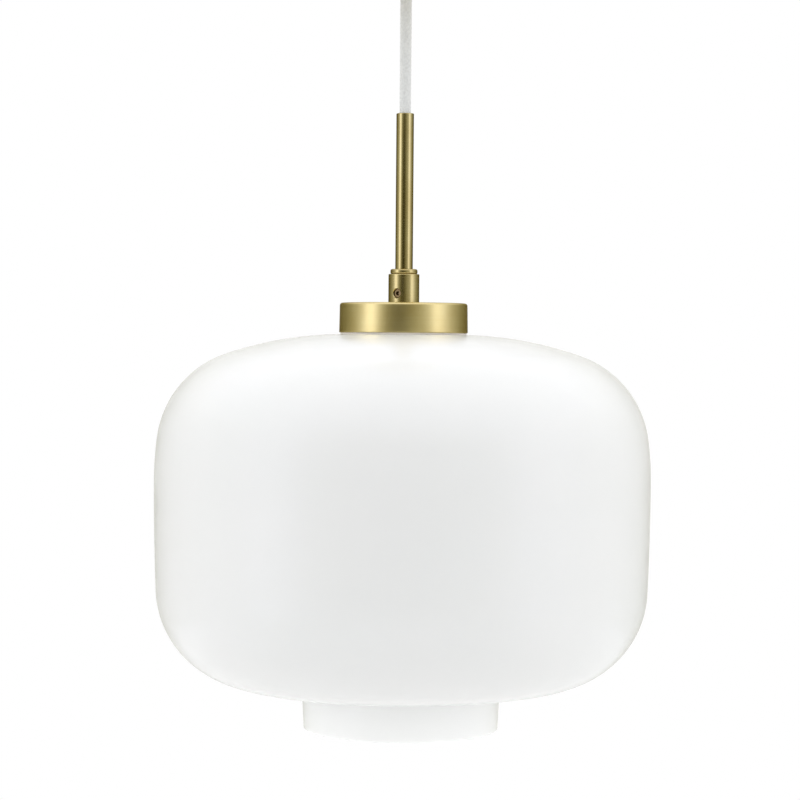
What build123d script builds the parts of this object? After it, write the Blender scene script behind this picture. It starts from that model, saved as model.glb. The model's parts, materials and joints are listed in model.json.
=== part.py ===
"""Pendant ceiling light: a taut flex, a brass down rod and cap, and a large opal glass shade.

Millimetres, +Z up. The origin is the centre of the ceiling face, and the lamp hangs down from it.
-Y is the front, so the grub screw of the clamp collar sits at the front left.
"""

import os
from math import atan2, asin, cos, degrees, radians, sin, sqrt

from build123d import *

# ---------------------------------------------------------------- driving dimensions
# flex
cord_diameter = 7.0
cord_free_length = 73.0
core_diameter = 2.2
core_spacing = 1.35
pivot_clearance = 0.3
flex_tail = 3.0
flex_foot_gap = 0.7
core_bend_radius = 3.0
tight_bend_radius = 2.6

# ceiling canopy and bracket
canopy_diameter = 100.0
canopy_height = 42.0
canopy_wall = 1.2
canopy_edge_radius = 3.0
bracket_thickness = 2.0
bracket_width = 22.0
bracket_gap = 3.0
ear_depth = 22.0
ear_width = 16.5
slot_spacing = 56.0
slot_width = 5.0
slot_length = 12.0
side_screw_diameter = 4.0
side_screw_head_diameter = 8.0
side_screw_head_height = 3.0
side_screw_drop = 14.08
side_screw_slot = 1.0
side_screw_overhang = 1.0
earth_screw_offset = 18.5
earth_screw_diameter = 4.0
earth_screw_head_diameter = 6.4
earth_screw_head_height = 2.4
earth_screw_slot = 0.8
hole_clearance = 0.1

# cord grip in the canopy
grip_drop = 12.0
grip_flange_diameter = 20.0
grip_flange_thickness = 2.0
grip_body_diameter = 14.0
grip_thread_diameter = 10.0
grip_thread_length = 8.0
grip_screw_diameter = 3.0
grip_screw_drop = 5.0
grip_screw_recess = 0.6
grip_cone_step = 2.0
grip_mouth_wall = 1.2
grip_cone_height = 4.0
grip_mouth_round = 0.8
grip_bore_round = 0.5
grip_cone_round = 2.0
grip_flange_round = 0.6
grip_nut_step = 2.5
hex_socket_share = 0.28

# terminal block
block_length = 30.0
block_width = 17.0
block_height = 14.0
pole_pitch = 10.0
insert_diameter = 5.0
insert_bore = 3.2
terminal_screw_diameter = 3.0
terminal_screw_spacing = 8.0
terminal_screw_slot = 0.6
terminal_slot_depth = 0.8
terminal_screw_recess = 0.5
block_corner_radius = 2.0
insert_inset = 1.0
pinch_gap = 0.05
block_screw_head_radius = 2.6
block_screw_head_height = 1.6
block_screw_slot = 0.7
core_rise = 4.0
core_sweep = 8.0
core_dip = 11.0
core_lean = 2.0
core_end_gap = 2.0
lead_gap = 0.1

# down rod and clamp collar
rod_showing = 94.0
bush_wall = 0.8
bush_length = 14.0
rod_wall = 0.7
rod_mouth_round = 0.49
rod_socket_depth = 6.0
ring_height = 3.0
ring_step = 2.9
ring_round = 0.9
collar_height = 17.6
collar_wall = 4.05
collar_round = 0.6
collar_screw_diameter = 5.1
collar_screw_drop = 11.8
collar_screw_turn = 28.0
collar_screw_rim = 6.2
collar_screw_recess = 1.6

# nipple and its nuts
nipple_clearance = 0.5
nipple_wall = 1.0
nipple_engagement = 4.5
nipple_screw_gap = 0.15
nut_width = 14.0
nut_height = 3.0
thin_nut_height = 2.0
washer_thickness = 0.8
washer_diameter = 18.0
washer_notches = 12
washer_notch_radius = 1.0
tag_thickness = 0.8
tag_inset = 0.5
tag_tab_width = 4.0
tag_tab_length = 4.2
thin_nut_step = 2.0

# shade cap and gaskets
cap_diameter = 77.9
cap_taper = 0.3
cap_height = 17.9
cap_wall = 1.2
cap_edge_radius = 1.6
gasket_thickness = 1.1
gasket_width = 5.4
gasket_inset = 0.6

# glass shade
shade_diameter = 300.0
glass_wall = 3.0
shade_hole_diameter = 43.0
land_radius = 35.3
upper_side_radius = 192.0
upper_side_turn = 7.7
upper_shoulder_radius = 61.5
crown_radius = 218.0
lower_side_radius = 1670.0
lower_side_turn = 2.3
lower_shoulder_radius = 59.4
base_radius = 330.0
neck_diameter = 120.2
neck_taper = 1.2
neck_height = 25.5
neck_fillet = 2.5
neck_inner_round = 2.4
lip_round = 1.35
hole_round = 0.75

# lampholder and shade ring
dome_height = 14.0
dome_step = 0.75
dome_slope = 0.4545
dome_shoulder_drop = 1.5
dome_inside_drop = 3.5
dome_boss_radius = 8.0
dome_boss_depth = 5.0
spigot_depth = 4.0
spigot_wall = 1.6
dome_round = 3.0
shell_wall = 0.35
core_wall = 1.6
core_disc_height = 8.0
core_sleeve_length = 23.0
core_disc_gap = 0.2
shell_setback = 1.0
skirt_gap = 2.05
skirt_wall = 2.35
skirt_lip = 3.0
skirt_lip_gap = 0.75
skirt_round = 0.8
ring_outer_diameter = 58.0
ring_flange = 2.2
ring_depth = 9.3
ring_sleeve_wall = 2.7
ring_edge_round = 0.8
ring_gasket_inset = 0.5
ring_scallops = 16
scallop_radius = 2.4
scallop_offset = 1.0
thread_clearance = 0.05
holder_block_offset = 9.0
holder_block_size = 6.0
holder_block_height = 7.0
strap_thickness = 1.0
leg_thickness = 1.4
leg_width = 4.0
leg_clearance = 0.05
stem_radius = 1.5
contact_radius = 4.5
contact_thickness = 1.2
wire_entry_rise = 4.5
holder_screw_gap = 0.4
holder_screw_stand = 0.8
tag_wire_drop = 4.5
tag_wire_reach = 1.6

# bulb, an E27 lamp of the usual size
bulb_cap_radius = 13.1
bulb_clearance = 0.3
bulb_diameter = 60.0
bulb_length = 110.0
contact_gap = 0.3
tip_height = 3.0
tip_radius = 4.8
tip_face_share = 0.6
tip_round = 1.2
insulator_margin = 1.2
insulator_step = 1.8
bulb_cap_wall = 0.4
bulb_insulator_height = 3.5
bulb_cap_height = 20.5
housing_height = 35.0
housing_wall = 1.5
housing_step = 0.5
housing_waist_share = 0.36
housing_hole_radius = 5.0
diffuser_wall = 1.2
board_thickness = 1.6
board_gap = 1.2
board_hole_radius = 2.5
led_count = 12
led_size = 2.8
led_height = 0.8
led_circle_share = 0.68

# ---------------------------------------------------------------- radii that follow
cord_radius = cord_diameter / 2
core_radius = core_diameter / 2
socket_radius = cord_radius + pivot_clearance
canopy_radius = canopy_diameter / 2
canopy_inner = canopy_radius - canopy_wall
grip_thread_radius = max(grip_thread_diameter / 2, cord_radius + 1.2)
grip_mouth_radius = socket_radius + grip_mouth_wall
grip_body_radius = max(grip_body_diameter / 2, grip_thread_radius + 1.5, grip_mouth_radius + grip_cone_step)
grip_flange_radius = max(grip_flange_diameter / 2, grip_body_radius + 2.0)
bush_radius = socket_radius + bush_wall
rod_radius = bush_radius + rod_wall
ring_radius = rod_radius + ring_step
collar_radius = rod_radius + collar_wall
nipple_bore = cord_radius + nipple_clearance
nipple_radius = nipple_bore + nipple_wall
nut_radius = max(nut_width / 2, nipple_radius + 2.0)
washer_radius = max(washer_diameter / 2, nut_radius + 1.0)
boss_radius = max(dome_boss_radius, nipple_radius + 2.0)
cap_rim_radius = cap_diameter / 2
cap_top_radius = cap_rim_radius - cap_taper
cap_gasket_outer = cap_rim_radius - gasket_inset
cap_gasket_inner = cap_gasket_outer - gasket_width
shade_radius = shade_diameter / 2
hole_radius = shade_hole_diameter / 2
neck_radius = neck_diameter / 2
neck_foot_radius = neck_radius - neck_taper
shell_bore = bulb_cap_radius + bulb_clearance
shell_radius = shell_bore + shell_wall
core_outer = shell_radius + core_wall
skirt_bore = core_outer + skirt_gap
skirt_radius = skirt_bore + skirt_wall
ring_bore = skirt_radius + thread_clearance
ring_outer = ring_outer_diameter / 2
bulb_radius = bulb_diameter / 2
dome_radius = skirt_radius - dome_step

# ---------------------------------------------------------------- the glass shade's outline
# Round arcs that run into each other without a corner. Each is (centre radius, centre height),
# with heights from the shade's widest ring.


def next_centre(centre, radius, turn, next_radius):
    """The centre of the arc that carries on from an arc after that turn, at another radius."""
    reach = radius - next_radius
    return centre[0] + reach * cos(radians(turn)), centre[1] + reach * sin(radians(turn))


def level_centre(centre, radius, level_radius, next_radius, side):
    """The centre of the arc that carries on from an arc and comes level at level_radius."""
    reach = next_radius - radius
    rise = sqrt(reach ** 2 - (centre[0] - level_radius) ** 2)
    return level_radius, centre[1] - side * rise


def joining_turn(centre, from_centre):
    """The turn, from level outwards, at which the arcs of two centres run into each other."""
    return degrees(atan2(from_centre[1] - centre[1], from_centre[0] - centre[0]))


upper_side_centre = (shade_radius - upper_side_radius, 0.0)
upper_shoulder_centre = next_centre(upper_side_centre, upper_side_radius, upper_side_turn,
                                    upper_shoulder_radius)
crown_centre = level_centre(upper_shoulder_centre, upper_shoulder_radius, land_radius, crown_radius, 1)
crown_turn = joining_turn(crown_centre, upper_shoulder_centre)
crown_rise = crown_centre[1] + crown_radius

lower_side_centre = (shade_radius - lower_side_radius, 0.0)
lower_shoulder_centre = next_centre(lower_side_centre, lower_side_radius, -lower_side_turn,
                                    lower_shoulder_radius)
base_centre = level_centre(lower_shoulder_centre, lower_shoulder_radius, neck_radius, base_radius, -1)
base_turn = joining_turn(base_centre, lower_shoulder_centre)
base_drop = base_radius - base_centre[1]

# ---------------------------------------------------------------- heights, from the ceiling down
canopy_floor = -canopy_height
canopy_inside = canopy_floor + canopy_wall
grip_mouth = canopy_floor - grip_drop
grip_screw_z = canopy_floor - grip_screw_drop
grip_thread_top = canopy_floor + grip_thread_length
flex_top = grip_thread_top + flex_tail
rod_mouth = grip_mouth - cord_free_length
ring_top = rod_mouth - rod_showing
collar_top = ring_top - ring_height
rod_foot = collar_top - rod_socket_depth
collar_screw_z = collar_top - collar_screw_drop
cap_top = collar_top - collar_height
cap_inside = cap_top - cap_wall
cap_rim = cap_top - cap_height
glass_top = cap_rim - gasket_thickness
glass_under = glass_top - glass_wall
glass_middle = glass_top - crown_rise
neck_top = glass_middle - base_drop
neck_foot = neck_top - neck_height
nipple_top = min(cap_top + nipple_engagement,
                 collar_screw_z - collar_screw_diameter / 2 - nipple_screw_gap)
locknut_top = cap_inside - washer_thickness
dome_top = locknut_top - nut_height
boss_foot = dome_top - dome_boss_depth
earth_nut_top = boss_foot - tag_thickness
nipple_foot = earth_nut_top - thin_nut_height
flex_foot = nipple_foot - flex_foot_gap
dome_foot = dome_top - dome_height
core_top = dome_foot - spigot_depth
disc_foot = core_top - core_disc_height
skirt_foot = disc_foot - core_sleeve_length - skirt_lip
ring_gasket_foot = glass_under - gasket_thickness
wire_entry_z = core_top + wire_entry_rise
contact_foot = disc_foot - contact_thickness
bulb_top = contact_foot - contact_gap
bulb_insulator_top = bulb_top - tip_height
bulb_cap_top = bulb_insulator_top - bulb_insulator_height
housing_top = bulb_cap_top - bulb_cap_height
housing_foot = housing_top - housing_height
bulb_foot = bulb_top - bulb_length
bulb_centre = bulb_foot + bulb_radius


# ---------------------------------------------------------------- helpers
def turned(*corners, rounds=()):
    """A piece turned about the lamp's axis, from the (radius, height) corners of its half section.

    rounds lists (corner, radius) for the corners that are rounded off.
    """
    with BuildPart() as piece:
        with BuildSketch(Plane.XZ) as section:
            with BuildLine():
                Polyline(*corners, close=True)
            make_face()
            for corner, round_radius in rounds:
                fillet(section.vertices().sort_by_distance(corner)[0], radius=round_radius)
        revolve(axis=Axis.Z)
    return piece


def tube(outer, bore, top, foot, edge=0.0):
    """A tube on the lamp's axis, with its outer edges rounded by edge."""
    rounds = [((outer, top), edge), ((outer, foot), edge)] if edge else []
    return turned((bore, foot), (outer, foot), (outer, top), (bore, top), rounds=rounds)


def hex_nut(across_flats, bore, top, height):
    """A hexagon nut on the lamp's axis, chamfered on its rims."""
    with BuildPart() as nut:
        with BuildSketch(Plane.XY.offset(top - height)):
            RegularPolygon(radius=across_flats / 2, side_count=6, major_radius=False)
            Circle(bore, mode=Mode.SUBTRACT)
        extrude(amount=height)
        chamfer(nut.edges().filter_by(GeomType.LINE).filter_by(Plane.XY), length=0.3)
    return nut


def wire(points, bend_radius, radius=core_radius):
    """An insulated wire along straight runs joined by round bends."""
    with BuildPart() as core:
        with BuildLine() as route:
            FilletPolyline(*points, radius=bend_radius)
        start = route.line @ 0
        heading = route.line % 0
        with BuildSketch(Plane(origin=start, z_dir=heading)):
            Circle(radius)
        sweep(path=route.line)
    return core


def screw(seat, shank_radius, shank_length, head_radius, head_height, slot_width):
    """A slotted screw. seat is the plane under its head, facing out along the head."""
    with BuildPart() as piece:
        with BuildSketch(seat):
            Circle(shank_radius)
        extrude(amount=-shank_length)
        with BuildSketch(seat):
            Circle(head_radius)
        extrude(amount=head_height)
        rim = piece.faces().sort_by(Axis(seat.origin, seat.z_dir))[-1].edges()
        fillet(rim, radius=head_height * 0.25)
        with BuildSketch(seat.offset(head_height)):
            Rectangle(3 * head_radius, slot_width)
        extrude(amount=-head_height * 0.4, mode=Mode.SUBTRACT)
    return piece


def grub_screw(end, radius, length, socket_radius):
    """A grub screw with a hexagon socket. end is the plane of its outer end, facing out."""
    with BuildPart() as piece:
        with BuildSketch(end):
            Circle(radius)
        extrude(amount=-length)
        with BuildSketch(end):
            RegularPolygon(radius=socket_radius, side_count=6)
        extrude(amount=-length * 0.4, mode=Mode.SUBTRACT)
    return piece


def group(pieces):
    """Several loose solids kept as one piece."""
    with BuildPart() as together:
        for piece in pieces:
            add(piece.part)
    return together


def radial_plane(turn_from_front, height, reach):
    """A plane across a radius of the lamp, at that reach and height, facing out."""
    turn = radians(turn_from_front)
    outwards = Vector(-sin(turn), -cos(turn), 0)
    return Plane(origin=outwards * reach + Vector(0, 0, height), z_dir=outwards)


def core_place(index):
    """Where one of the three cores lies in the flex: 0 brown, 1 blue, 2 earth."""
    angle = radians((210.0, 330.0, 90.0)[index])
    return core_spacing * cos(angle), core_spacing * sin(angle)


# ---------------------------------------------------------------- ceiling bracket and canopy
ear_outer = canopy_inner - bracket_gap
side_screw_z = -side_screw_drop

with BuildPart() as ceiling_bracket:
    with BuildSketch(Plane.XY.offset(-bracket_thickness)):
        Rectangle(2 * ear_outer, bracket_width)
        with GridLocations(slot_spacing, 1, 2, 1):
            SlotOverall(slot_length, slot_width, mode=Mode.SUBTRACT)
        with Locations((earth_screw_offset, 0)):
            Circle(earth_screw_diameter / 2, mode=Mode.SUBTRACT)
        with Locations((pole_pitch / 2, 0)):
            Circle(terminal_screw_diameter / 2, mode=Mode.SUBTRACT)
    extrude(amount=bracket_thickness)
    for side in (-1, 1):
        with BuildSketch(Plane(origin=(side * ear_outer, 0, 0), x_dir=(0, side, 0), z_dir=(side, 0, 0))):
            with Locations((0, -ear_depth / 2)):
                Rectangle(ear_width, ear_depth)
            with Locations((0, side_screw_z)):
                Circle(side_screw_diameter / 2, mode=Mode.SUBTRACT)
        extrude(amount=-bracket_thickness)

canopy_hole = grip_thread_radius + hole_clearance
canopy_blank = turned(
    (canopy_hole, canopy_floor), (canopy_radius, canopy_floor), (canopy_radius, 0),
    (canopy_inner, 0), (canopy_inner, canopy_inside), (canopy_hole, canopy_inside),
    rounds=[((canopy_radius, canopy_floor), canopy_edge_radius),
            ((canopy_inner, canopy_inside), canopy_edge_radius - canopy_wall)],
)
with BuildPart() as canopy:
    add(canopy_blank.part)
    with BuildSketch(Plane.YZ.offset(-canopy_diameter)):
        with Locations((0, side_screw_z)):
            Circle(side_screw_diameter / 2 + hole_clearance)
    extrude(amount=2 * canopy_diameter, mode=Mode.SUBTRACT)

side_screw_reach = canopy_radius - ear_outer + bracket_thickness + side_screw_overhang
canopy_side_screws = group(
    screw(Plane(origin=(side * canopy_radius, 0, side_screw_z), z_dir=(side, 0, 0)),
          side_screw_diameter / 2, side_screw_reach, side_screw_head_diameter / 2,
          side_screw_head_height, side_screw_slot)
    for side in (-1, 1)
)
bracket_earth_screw = screw(
    Plane(origin=(earth_screw_offset, 0, -bracket_thickness), z_dir=(0, 0, -1)),
    earth_screw_diameter / 2, bracket_thickness, earth_screw_head_diameter / 2,
    earth_screw_head_height, earth_screw_slot,
)

# ---------------------------------------------------------------- cord grip
grip_tip_radius = grip_body_radius - grip_cone_step
grip_cone_top = grip_mouth + grip_cone_height
grip_flange_z = canopy_floor - grip_flange_thickness

grip_blank = turned(
    (socket_radius, grip_mouth), (grip_tip_radius, grip_mouth), (grip_body_radius, grip_cone_top),
    (grip_body_radius, grip_flange_z), (grip_flange_radius, grip_flange_z),
    (grip_flange_radius, canopy_floor),
    (grip_thread_radius, canopy_floor), (grip_thread_radius, grip_thread_top),
    (socket_radius, grip_thread_top),
    rounds=[((grip_tip_radius, grip_mouth), grip_mouth_round),
            ((grip_body_radius, grip_cone_top), grip_cone_round),
            ((socket_radius, grip_mouth), grip_bore_round),
            ((grip_flange_radius, grip_flange_z), grip_flange_round)],
)
with BuildPart() as cord_grip:
    add(grip_blank.part)
    with Locations(radial_plane(180, grip_screw_z, grip_body_radius)):
        Hole(radius=grip_screw_diameter / 2, depth=grip_body_radius)

grip_screw_end = grip_body_radius - grip_screw_recess
cord_grip_screw = grub_screw(radial_plane(180, grip_screw_z, grip_screw_end), grip_screw_diameter / 2,
                             grip_screw_end - cord_radius, grip_screw_diameter * hex_socket_share)
cord_grip_nut = hex_nut(2 * (grip_thread_radius + grip_nut_step), grip_thread_radius,
                        canopy_inside + nut_height, nut_height)

with BuildPart() as flex_in_canopy:
    with BuildSketch(Plane.XY.offset(grip_mouth)):
        Circle(cord_radius)
    extrude(amount=flex_top - grip_mouth)
    with Locations((0, 0, grip_mouth)):
        Sphere(socket_radius, mode=Mode.SUBTRACT)

# ---------------------------------------------------------------- terminal block
block_top = -bracket_thickness
block_foot = block_top - block_height
insert_z = block_top - block_height / 2
poles = (-pole_pitch, 0.0, pole_pitch)
screw_rows = (-terminal_screw_spacing / 2, terminal_screw_spacing / 2)

with BuildPart() as terminal_block:
    with BuildSketch(Plane.XY.offset(block_foot)):
        RectangleRounded(block_length, block_width, block_corner_radius)
    extrude(amount=block_height)
    with BuildSketch(Plane.XZ.offset(-block_width)):
        with Locations([(pole, insert_z) for pole in poles]):
            Circle(insert_diameter / 2)
    extrude(amount=2 * block_width, mode=Mode.SUBTRACT)
    with BuildSketch(Plane.XY.offset(block_foot)):
        with Locations([(pole, row) for pole in poles for row in screw_rows]):
            Circle(terminal_screw_diameter / 2 + hole_clearance)
    extrude(amount=block_height / 2, mode=Mode.SUBTRACT)
    with BuildSketch(Plane.XY.offset(block_foot)):
        with Locations((pole_pitch / 2, 0)):
            Circle(terminal_screw_diameter / 2)
    extrude(amount=block_height, mode=Mode.SUBTRACT)

with BuildPart() as terminal_inserts:
    with BuildSketch(Plane.XZ.offset(insert_inset - block_width / 2)):
        with Locations([(pole, insert_z) for pole in poles]):
            Circle(insert_diameter / 2)
            Circle(insert_bore / 2, mode=Mode.SUBTRACT)
    extrude(amount=block_width - 2 * insert_inset)
    with BuildSketch(Plane.XY.offset(block_foot)):
        with Locations([(pole, row) for pole in poles for row in screw_rows]):
            Circle(terminal_screw_diameter / 2)
    extrude(amount=block_height / 2, mode=Mode.SUBTRACT)

terminal_screw_tip = insert_z - core_radius - pinch_gap
terminal_screw_foot = block_foot + terminal_screw_recess
terminal_slot_top = terminal_screw_foot + terminal_slot_depth
with BuildPart() as terminal_screws:
    with BuildSketch(Plane.XY.offset(terminal_screw_foot)):
        with Locations([(pole, row) for pole in poles for row in screw_rows]):
            Circle(terminal_screw_diameter / 2)
            Rectangle(2 * terminal_screw_diameter, terminal_screw_slot, mode=Mode.SUBTRACT)
    extrude(amount=terminal_slot_depth)
    with BuildSketch(Plane.XY.offset(terminal_slot_top)):
        with Locations([(pole, row) for pole in poles for row in screw_rows]):
            Circle(terminal_screw_diameter / 2)
    extrude(amount=terminal_screw_tip - terminal_slot_top)

terminal_block_screw = screw(
    Plane(origin=(pole_pitch / 2, 0, block_foot), z_dir=(0, 0, -1)),
    terminal_screw_diameter / 2, block_height + bracket_thickness, block_screw_head_radius,
    block_screw_head_height, block_screw_slot,
)

# ---------------------------------------------------------------- cores in the canopy
core_reach = block_width / 2 + core_sweep
lead_z = -bracket_thickness - core_radius - lead_gap


def canopy_core(index, pole, side):
    """One core, from the end of the flex round to its pole of the terminal block."""
    x, y = core_place(index)
    return wire([
        (x, y, flex_top), (x, y, flex_top + core_rise),
        (pole, side * (core_reach - core_lean), insert_z - core_dip),
        (pole, side * core_reach, insert_z), (pole, side * core_end_gap, insert_z),
    ], core_bend_radius)


canopy_core_brown = canopy_core(0, poles[0], -1)
canopy_core_blue = canopy_core(1, poles[2], -1)
canopy_core_earth = canopy_core(2, poles[1], 1)
bracket_earth_lead = wire([
    (poles[1], -core_end_gap, insert_z), (poles[1], -core_reach, insert_z),
    (earth_screw_offset, -core_reach, lead_z),
    (earth_screw_offset, -earth_screw_head_diameter / 2, lead_z),
], core_bend_radius)

# ---------------------------------------------------------------- free flex
# The flex is straight because the pendant's weight pulls it tight. Its two ends are round, so that it
# turns in the cord grip above and in the rod's mouth below.
with BuildPart() as flex:
    with BuildSketch(Plane.XY.offset(rod_mouth)):
        Circle(cord_radius)
    extrude(amount=cord_free_length)
    with Locations((0, 0, rod_mouth), (0, 0, grip_mouth)):
        Sphere(cord_radius)

# ---------------------------------------------------------------- down rod, foot ring, clamp collar
down_rod = turned(
    (bush_radius, rod_foot), (rod_radius, rod_foot), (rod_radius, rod_mouth), (bush_radius, rod_mouth),
    rounds=[((rod_radius, rod_mouth), rod_mouth_round)],
)
rod_mouth_bush = tube(bush_radius, socket_radius, rod_mouth, rod_mouth - bush_length)
rod_foot_ring = tube(ring_radius, rod_radius, ring_top, collar_top, edge=ring_round)

collar_blank = turned(
    (nipple_radius, cap_top), (collar_radius, cap_top), (collar_radius, collar_top),
    (rod_radius, collar_top), (rod_radius, rod_foot), (nipple_bore, rod_foot),
    (nipple_bore, nipple_top), (nipple_radius, nipple_top),
    rounds=[((collar_radius, collar_top), collar_round)],
)
with BuildPart() as clamp_collar:
    add(collar_blank.part)
    with Locations(radial_plane(collar_screw_turn, collar_screw_z, collar_radius)):
        CounterSinkHole(radius=collar_screw_diameter / 2, counter_sink_radius=collar_screw_rim / 2,
                        depth=collar_radius)

collar_screw_end = collar_radius - collar_screw_recess
collar_grub_screw = grub_screw(radial_plane(collar_screw_turn, collar_screw_z, collar_screw_end),
                               collar_screw_diameter / 2, collar_screw_end - cord_radius,
                               collar_screw_diameter * hex_socket_share)

with BuildPart() as flex_in_rod:
    with BuildSketch(Plane.XY.offset(flex_foot)):
        Circle(cord_radius)
    extrude(amount=rod_mouth - flex_foot)
    with Locations((0, 0, rod_mouth)):
        Sphere(socket_radius, mode=Mode.SUBTRACT)

# ---------------------------------------------------------------- nipple, shade cap and their nuts
nipple = tube(nipple_radius, nipple_bore, nipple_top, nipple_foot)

cap_hole = nipple_radius + hole_clearance
shade_cap = turned(
    (cap_hole, cap_top), (cap_top_radius, cap_top), (cap_rim_radius, cap_rim),
    (cap_rim_radius - cap_wall, cap_rim), (cap_top_radius - cap_wall, cap_inside), (cap_hole, cap_inside),
    rounds=[((cap_top_radius, cap_top), cap_edge_radius),
            ((cap_top_radius - cap_wall, cap_inside), cap_edge_radius - cap_wall)],
)
nipple_washer_blank = tube(washer_radius, cap_hole, cap_inside, locknut_top)
with BuildPart() as nipple_washer:
    add(nipple_washer_blank.part)
    with BuildSketch(Plane.XY.offset(locknut_top)):
        with PolarLocations(washer_radius, washer_notches):
            Circle(washer_notch_radius)
    extrude(amount=washer_thickness, mode=Mode.SUBTRACT)
nipple_locknut = hex_nut(2 * nut_radius, nipple_radius, locknut_top, nut_height)

with BuildPart() as earth_tag:
    with BuildSketch(Plane.XY.offset(boss_foot - tag_thickness)):
        Circle(boss_radius - tag_inset)
        with Locations((0, boss_radius)):
            Rectangle(tag_tab_width, tag_tab_length)
        Circle(nipple_radius + hole_clearance, mode=Mode.SUBTRACT)
    extrude(amount=tag_thickness)
earth_nut = hex_nut(2 * (nipple_radius + thin_nut_step), nipple_radius, earth_nut_top, thin_nut_height)

cap_gasket = tube(cap_gasket_outer, cap_gasket_inner, cap_rim, glass_top)

# ---------------------------------------------------------------- glass shade


def arc(centre, radius, start_turn, end_turn):
    """An arc of the shade's section, with its turns from level outwards."""
    CenterArc((centre[0], centre[1] + glass_middle), radius, start_turn, end_turn - start_turn)


def shade_side(inset):
    """One skin of the shade from its flat top land to its neck; inset 0 is the outer skin."""
    arc(crown_centre, crown_radius - inset, 90.0, crown_turn)
    arc(upper_shoulder_centre, upper_shoulder_radius - inset, crown_turn, upper_side_turn)
    arc(upper_side_centre, upper_side_radius - inset, upper_side_turn, 0.0)
    arc(lower_side_centre, lower_side_radius - inset, 0.0, -lower_side_turn)
    arc(lower_shoulder_centre, lower_shoulder_radius - inset, -lower_side_turn, base_turn)
    arc(base_centre, base_radius - inset, base_turn, -90.0)


neck_inner_corner = (neck_radius - glass_wall, neck_top + glass_wall)
with BuildPart() as glass_shade:
    with BuildSketch(Plane.XZ) as shade_section:
        with BuildLine():
            shade_side(0.0)
            shade_side(glass_wall)
            Polyline((land_radius, glass_top), (hole_radius, glass_top), (hole_radius, glass_under),
                     (land_radius, glass_under))
            Polyline((neck_radius, neck_top), (neck_foot_radius, neck_foot),
                     (neck_foot_radius - glass_wall, neck_foot), neck_inner_corner,
                     (neck_radius, neck_top + glass_wall))
        make_face()
        for corner, round_radius in (
            ((neck_radius, neck_top), neck_fillet),
            (neck_inner_corner, neck_inner_round),
            ((neck_foot_radius, neck_foot), lip_round),
            ((neck_foot_radius - glass_wall, neck_foot), lip_round),
            ((hole_radius, glass_top), hole_round),
            ((hole_radius, glass_under), hole_round),
        ):
            fillet(shade_section.vertices().sort_by_distance(corner)[0], radius=round_radius)
    revolve(axis=Axis.Z)

# ---------------------------------------------------------------- shade ring and its gasket
ring_sleeve = ring_bore + ring_sleeve_wall
ring_flange_z = ring_gasket_foot - ring_flange
ring_foot_z = ring_gasket_foot - ring_depth
ring_gasket = tube(ring_outer - ring_gasket_inset, ring_sleeve, glass_under, ring_gasket_foot)
ring_blank = turned(
    (ring_bore, ring_gasket_foot), (ring_outer, ring_gasket_foot), (ring_outer, ring_flange_z),
    (ring_sleeve, ring_flange_z), (ring_sleeve, ring_foot_z), (ring_bore, ring_foot_z),
    rounds=[((ring_outer, ring_flange_z), ring_edge_round), ((ring_sleeve, ring_foot_z), ring_edge_round)],
)
with BuildPart() as shade_ring:
    add(ring_blank.part)
    with BuildSketch(Plane.XY.offset(ring_flange_z)):
        with PolarLocations(ring_outer + scallop_offset, ring_scallops):
            Circle(scallop_radius)
    extrude(amount=ring_flange, mode=Mode.SUBTRACT)

# ---------------------------------------------------------------- lampholder
spigot_outer = skirt_bore - thread_clearance
spigot_bore = spigot_outer - spigot_wall
dome_shoulder_z = dome_top - dome_shoulder_drop
dome_inside_z = dome_top - dome_inside_drop
dome_edge_z = dome_shoulder_z - dome_slope * (dome_radius - boss_radius)
lampholder_dome = turned(
    (nipple_radius, dome_top), (boss_radius, dome_top), (boss_radius, dome_shoulder_z),
    (dome_radius, dome_edge_z), (dome_radius, dome_foot), (spigot_outer, dome_foot),
    (spigot_outer, core_top), (spigot_bore, core_top),
    (spigot_bore, dome_inside_z - dome_slope * (spigot_bore - boss_radius)), (boss_radius, dome_inside_z),
    (boss_radius, boss_foot), (nipple_radius, boss_foot),
    rounds=[((dome_radius, dome_edge_z), dome_round)],
)

skirt_lip_bore = shell_radius + skirt_lip_gap
lampholder_skirt = turned(
    (skirt_bore, dome_foot), (skirt_radius, dome_foot), (skirt_radius, skirt_foot),
    (skirt_lip_bore, skirt_foot), (skirt_lip_bore, skirt_foot + skirt_lip),
    (skirt_bore, skirt_foot + skirt_lip),
    rounds=[((skirt_radius, skirt_foot), skirt_round)],
)

leg_outer = shell_radius - leg_clearance
disc_radius = skirt_bore - core_disc_gap
sleeve_foot = disc_foot - core_sleeve_length
core_blank = turned(
    (stem_radius, disc_foot), (stem_radius, core_top), (disc_radius, core_top), (disc_radius, disc_foot),
    (core_outer, disc_foot), (core_outer, sleeve_foot), (shell_radius, sleeve_foot),
    (shell_radius, disc_foot),
)
with BuildPart() as lampholder_core:
    add(core_blank.part)
    with BuildSketch(Plane.XY.offset(disc_foot)):
        with Locations((leg_outer - leg_thickness / 2, 0)):
            Rectangle(leg_thickness, leg_width)
    extrude(amount=core_disc_height, mode=Mode.SUBTRACT)

screw_shell = tube(shell_radius, shell_bore, disc_foot, sleeve_foot + shell_setback)

wire_y = core_place(0)[1]
block_hole_radius = core_radius + hole_clearance


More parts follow.
